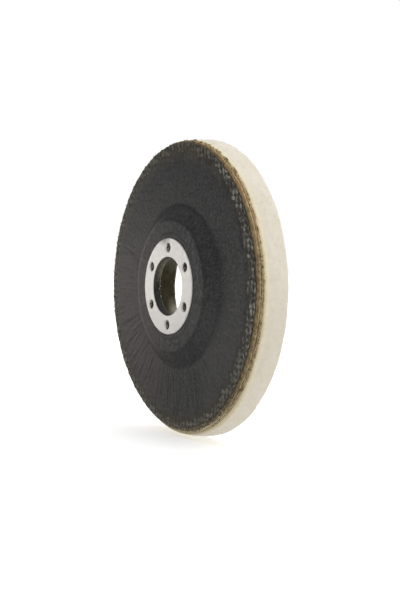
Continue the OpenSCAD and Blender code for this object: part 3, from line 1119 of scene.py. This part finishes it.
def build_lining():
    """The resin skin of the felt's bore, dark partly as painted shade, uneven and a little proud at the
    front edge.
    """
    back_r = FELT_HOLE_R - GAP
    end_y = FELT_FRONT_Y - 0.06
    edge_r = 0.12
    outline = joined(
        line(back_r, FELT_Y, back_r, end_y, 6),
        line(back_r, end_y, LINING_R + 0.1, end_y, 2),
        arc(LINING_R + edge_r, end_y - edge_r, edge_r, 90, 180, 3),
        line(LINING_R, end_y - edge_r, LINING_R, FELT_Y, 24),
        line(LINING_R, FELT_Y, back_r, FELT_Y, 2),
    )[:-1]
    lathe = Lathe(outline, 540, FELT_SHIFT)
    points = lathe.points()
    inner = lathe.r < LINING_R + 0.2
    rough = 0.10 * space_noise(points, 121, 3.0) + 0.05 * space_noise(points, 122, 0.9)
    lathe.r += np.where(inner, rough, 0)
    add_piece("bore_lining_resin", "bore_resin", ["bore_lining"], lathe, lining_material())


def build_glue():
    """The glue line, with the bead that was squeezed out between plate and felt."""
    rim = PLATE_R + 0.1
    mid = (PLATE_FRONT_Y + FELT_Y) / 2
    inner_r = HUB_BASE_R + 0.5
    outline = joined(
        line(inner_r, PLATE_FRONT_Y, rim - 0.8, PLATE_FRONT_Y, 8),
        arc(rim - 0.1, mid, 0.24, 230, 490, 10),
        line(rim - 0.8, FELT_Y, inner_r, FELT_Y, 8),
        line(inner_r, FELT_Y, inner_r, PLATE_FRONT_Y, 2),
    )[:-1]
    lathe = Lathe(outline, 720)
    bead = smoothstep(rim - 0.9, rim, lathe.r)
    lumps = 0.30 * ring_noise(lathe.angle, 131, 10, 60) + 0.22 * ring_noise(lathe.angle, 132, 80, 160)
    lathe.r += bead * lumps
    lathe.y += bead * 0.12 * ring_noise(lathe.angle, 133, 20, 110) * np.sign(lathe.y - mid)
    add_piece("glue_line_bead", "glue", ["glue_line"], lathe, glue_material())


def build_frayed_strands():
    """Glass filaments that have come loose from the plies' cut edges, with one tuft near the top."""
    rng = np.random.default_rng(141)
    pile = Pile()
    count, tuft_strands = 140, 10
    tuft_angle = 1.50
    for index in range(count):
        in_tuft = index < tuft_strands
        a = tuft_angle + rng.normal(0, 0.012) if in_tuft else rng.uniform(0, TAU)
        start = np.array([PLATE_R - 0.4, rng.uniform(MIDDLE_PLY_Y + 0.1, PLATE_FRONT_Y), 0.0])
        along = rng.choice([-1, 1]) * rng.uniform(0.6, 1.6)
        outward = rng.uniform(0.6, 1.1) if in_tuft else rng.uniform(0.12, 0.55)
        length = rng.uniform(0.6, 1.2) if in_tuft else rng.uniform(0.5, 1.9)
        t = np.linspace(0, 1, 8)[:, None]
        direction = np.array([outward, rng.uniform(-0.35, 0.25), 0.4 * along if in_tuft else along])
        bend = np.array([rng.uniform(-0.4, 0.2), rng.uniform(-0.3, 0.3), rng.uniform(-0.4, 0.4)])
        path = start + direction * length * t + bend * length * t**2
        radius = rng.uniform(0.02, 0.055) * np.linspace(1, 0.4, len(path))
        pile.add(*tube(path @ spin(a).T, radius, radius, np.array([0.0, 1.0, 0.0]), 6))
    add_piece("front_glass_ply_strands", "glass_laminate", [], pile, LAMINATE)


# ---------------- stage, light and camera


def build_stage():
    """A large round floor of white paper that glows a little, for the wheel to stand on."""
    floor_z = FELT_SHIFT[2] - FELT_R - 0.1
    rings = (60, 150, 400, 1000, 2500, 6000)
    steps = 96
    angles = np.linspace(0, TAU, steps, endpoint=False)
    points = [[0, 0, floor_z]]
    for r in rings:
        points += [[r * math.cos(a), r * math.sin(a), floor_z] for a in angles]
    faces = [[0, 1 + j, 1 + (j + 1) % steps] for j in range(steps)]
    faces += (wrapped_quads(len(rings), steps) + 1).tolist()
    n = Paint("floor_paper", roughness=0.9, specular=0.1)
    n.base(n.noise(40, detail=2), (0.955, 0.955, 0.955), (0.975, 0.975, 0.97))
    set_input(n.shader, "Emission Color", (1.0, 1.0, 1.0, 1.0))
    set_input(n.shader, "Emission Strength", 0.32)
    floor = make_object("floor", points, faces, [n.finish()])
    # Only the camera sees the floor: the light from below comes from the world instead
    floor.visible_diffuse = False
    floor.visible_glossy = False
    floor.visible_shadow = False


def outwards(azimuth, elevation):
    """The direction of a place seen from the wheel. Azimuth 0 is straight in front of the steel ring."""
    a, e = math.radians(azimuth), math.radians(elevation)
    return Vector((math.sin(a) * math.cos(e), -math.cos(a) * math.cos(e), math.sin(e)))


def area_light(name, azimuth, elevation, distance, width, height, power, tint=(1, 1, 1)):
    """A soft light aimed at the wheel."""
    data = bpy.data.lights.new(name, "AREA")
    data.shape = "RECTANGLE"
    data.size = width * MM
    data.size_y = height * MM
    data.energy = power
    data.color = tint
    light = bpy.data.objects.new(name, data)
    away = outwards(azimuth, elevation)
    light.location = away * distance * MM
    light.rotation_mode = "QUATERNION"
    light.rotation_quaternion = away.to_track_quat("Z", "Y")
    bpy.context.scene.collection.objects.link(light)


# Strengths of the white world: on the felt side, in front of the black face, low in front, overhead
WORLD_BACK = 1.0
WORLD_FRONT = 0.18
WORLD_FRONT_LOW = 0.70
WORLD_TOP = 0.8


def build_world():
    """A white studio: full white on the felt side, softer in front of the black face, bright overhead."""
    world = bpy.data.worlds.new("white_studio")
    world.use_nodes = True
    tree = world.node_tree
    direction = Value(add_node(tree, "ShaderNodeTexCoord", {}), "Generated")

    def toward(x, y, z):
        """How nearly a direction of view is the given one, from -1 to 1."""
        inputs = {0: direction, 1: (x, y, z)}
        return Value(add_node(tree, "ShaderNodeVectorMath", inputs, operation="DOT_PRODUCT"), "Value")

    in_front = toward(0.6, 0.0, -0.8).ramp(-0.2, 0.9, WORLD_FRONT, WORLD_FRONT_LOW)
    felt_side = toward(0.0, 1.0, 0.0).ramp(-0.15, 0.28, in_front, WORLD_BACK)
    right_side = toward(0.93, 0.36, 0.0).ramp(-0.30, 0.60, in_front, WORLD_BACK)
    overhead = toward(0.0, 0.0, 1.0).ramp(0.45, 0.95, 0.0, WORLD_TOP)
    # Straight behind the object the studio's walls are always white
    seen = Value(add_node(tree, "ShaderNodeLightPath", {}), "Is Camera Ray")
    strength = (felt_side.at_least(right_side) + overhead).at_least(seen)
    background = tree.nodes["Background"]
    set_input(background, "Color", (1.0, 1.0, 1.0, 1.0))
    set_input(background, "Strength", strength)
    bpy.context.scene.world = world


def build_lights():
    build_world()
    area_light("key", -62, 0, distance=600, width=320, height=116, power=0.36, tint=(1.0, 0.97, 0.94))
    area_light("felt_side", 112, 25, distance=700, width=420, height=420, power=0.25,
               tint=(1.0, 0.985, 0.95))
    area_light("top", 150, 74, distance=700, width=420, height=420, power=0.33)
    bpy.context.scene.view_settings.view_transform = "Standard"
    bpy.context.scene.view_settings.look = "None"


CAMERA_AZIMUTH = 59.05
CAMERA_ELEVATION = 2.06
CAMERA_ROLL = 0.89
CAMERA_DISTANCE = 400.0
CAMERA_LENS = 61.9
CAMERA_SENSOR = 36.0
# The wheel stands a little left of and above the middle of the view
CAMERA_ASIDE = 12.63
CAMERA_BELOW = 5.3


def build_camera():
    data = bpy.data.cameras.new("camera")
    data.lens = CAMERA_LENS
    data.sensor_width = CAMERA_SENSOR
    data.clip_start = 0.01
    data.clip_end = 20
    camera = bpy.data.objects.new("camera", data)
    back = outwards(CAMERA_AZIMUTH, CAMERA_ELEVATION)
    roll = math.radians(CAMERA_ROLL)
    level_right = Vector((0, 0, 1)).cross(back).normalized()
    level_up = back.cross(level_right)
    right = level_right * math.cos(roll) + level_up * math.sin(roll)
    up = back.cross(right)
    turn = Matrix((right, up, back)).transposed()
    place = back * CAMERA_DISTANCE + right * CAMERA_ASIDE - up * CAMERA_BELOW
    camera.matrix_world = Matrix.Translation(place * MM) @ turn.to_4x4()
    bpy.context.scene.collection.objects.link(camera)
    bpy.context.scene.camera = camera


build_camera()
build_lights()
build_stage()
build_facing()
build_rear_ply()
build_coated_strands()
build_middle_ply()
build_front_ply()
build_hub_reinforcement()
build_ring()
build_felt()
build_felt_fibres()
build_lining()
build_glue()
build_frayed_strands()
